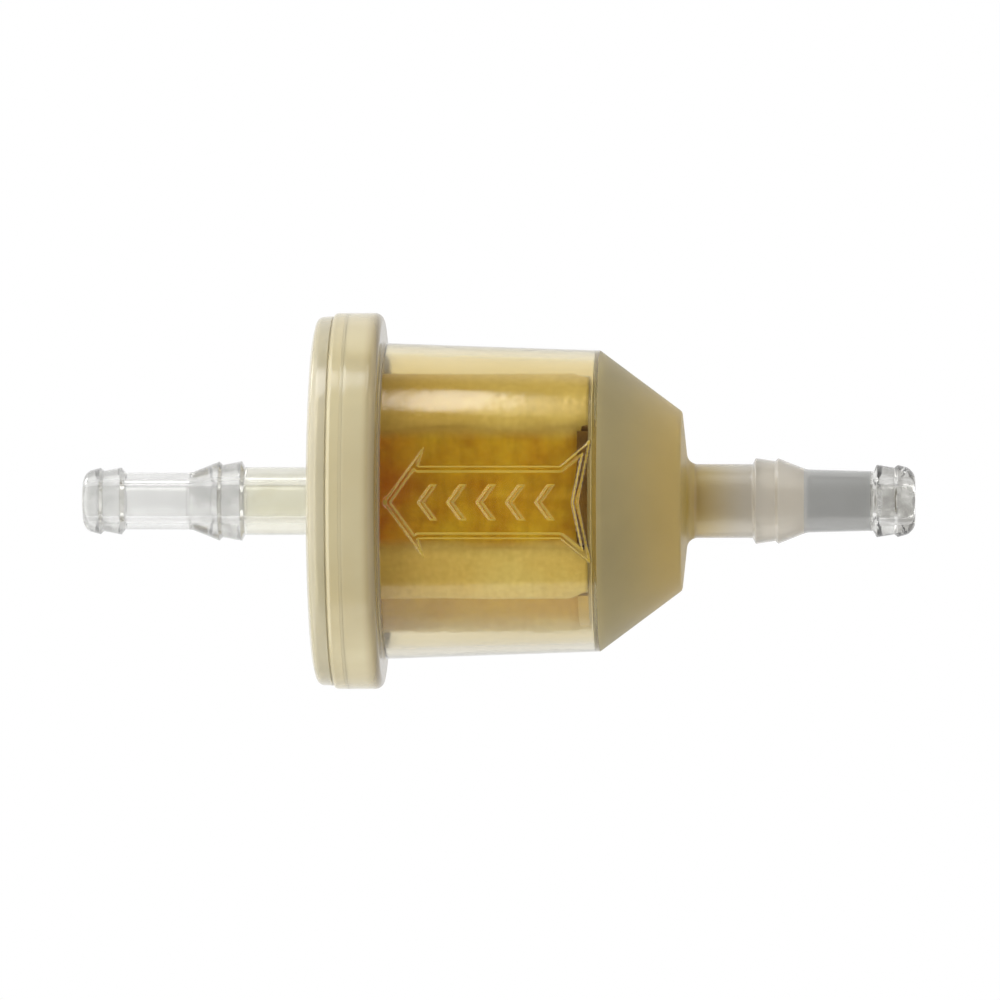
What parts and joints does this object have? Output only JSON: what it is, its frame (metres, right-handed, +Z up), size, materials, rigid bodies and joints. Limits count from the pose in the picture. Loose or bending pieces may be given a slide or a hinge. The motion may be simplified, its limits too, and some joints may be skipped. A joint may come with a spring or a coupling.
{
  "type": "inline fuel filter",
  "caption": "Clear inline fuel filter: flanged bowl and domed cap welded round a folded paper element, with stepped hose nozzles on its axis and a raised flow arrow.",
  "frame": {"origin": "on the filter's axis, halfway between the mouths of the two hose nozzles", "axes": "+X along the axis from the outlet (cap) end to the inlet (cone) end, +Z up, flow arrow on the -Y side pointing to -X"},
  "size_m": [0.095, 0.043, 0.043],
  "materials": {
    "clear_nylon": "clear nylon, glossy on the wall and frosted on the cone and neck",
    "cloudy_nylon": "cloudy natural nylon, glossy",
    "filter_paper": "resin-treated tan paper",
    "adhesive": "dark amber cured adhesive",
    "plate_nylon": "natural nylon, moulded",
    "seal_rubber": "black rubber"
  },
  "bodies": {
    "root": {"bowl": "clear_nylon", "outlet_cap": "cloudy_nylon", "weld_bead": "cloudy_nylon", "pleated_paper": "filter_paper", "paper_seam_glue": "adhesive", "inlet_end_potting": "adhesive", "outlet_end_potting": "adhesive", "outlet_end_plate": "plate_nylon", "spigot_seal": "seal_rubber"}
  },
  "joints": []
}
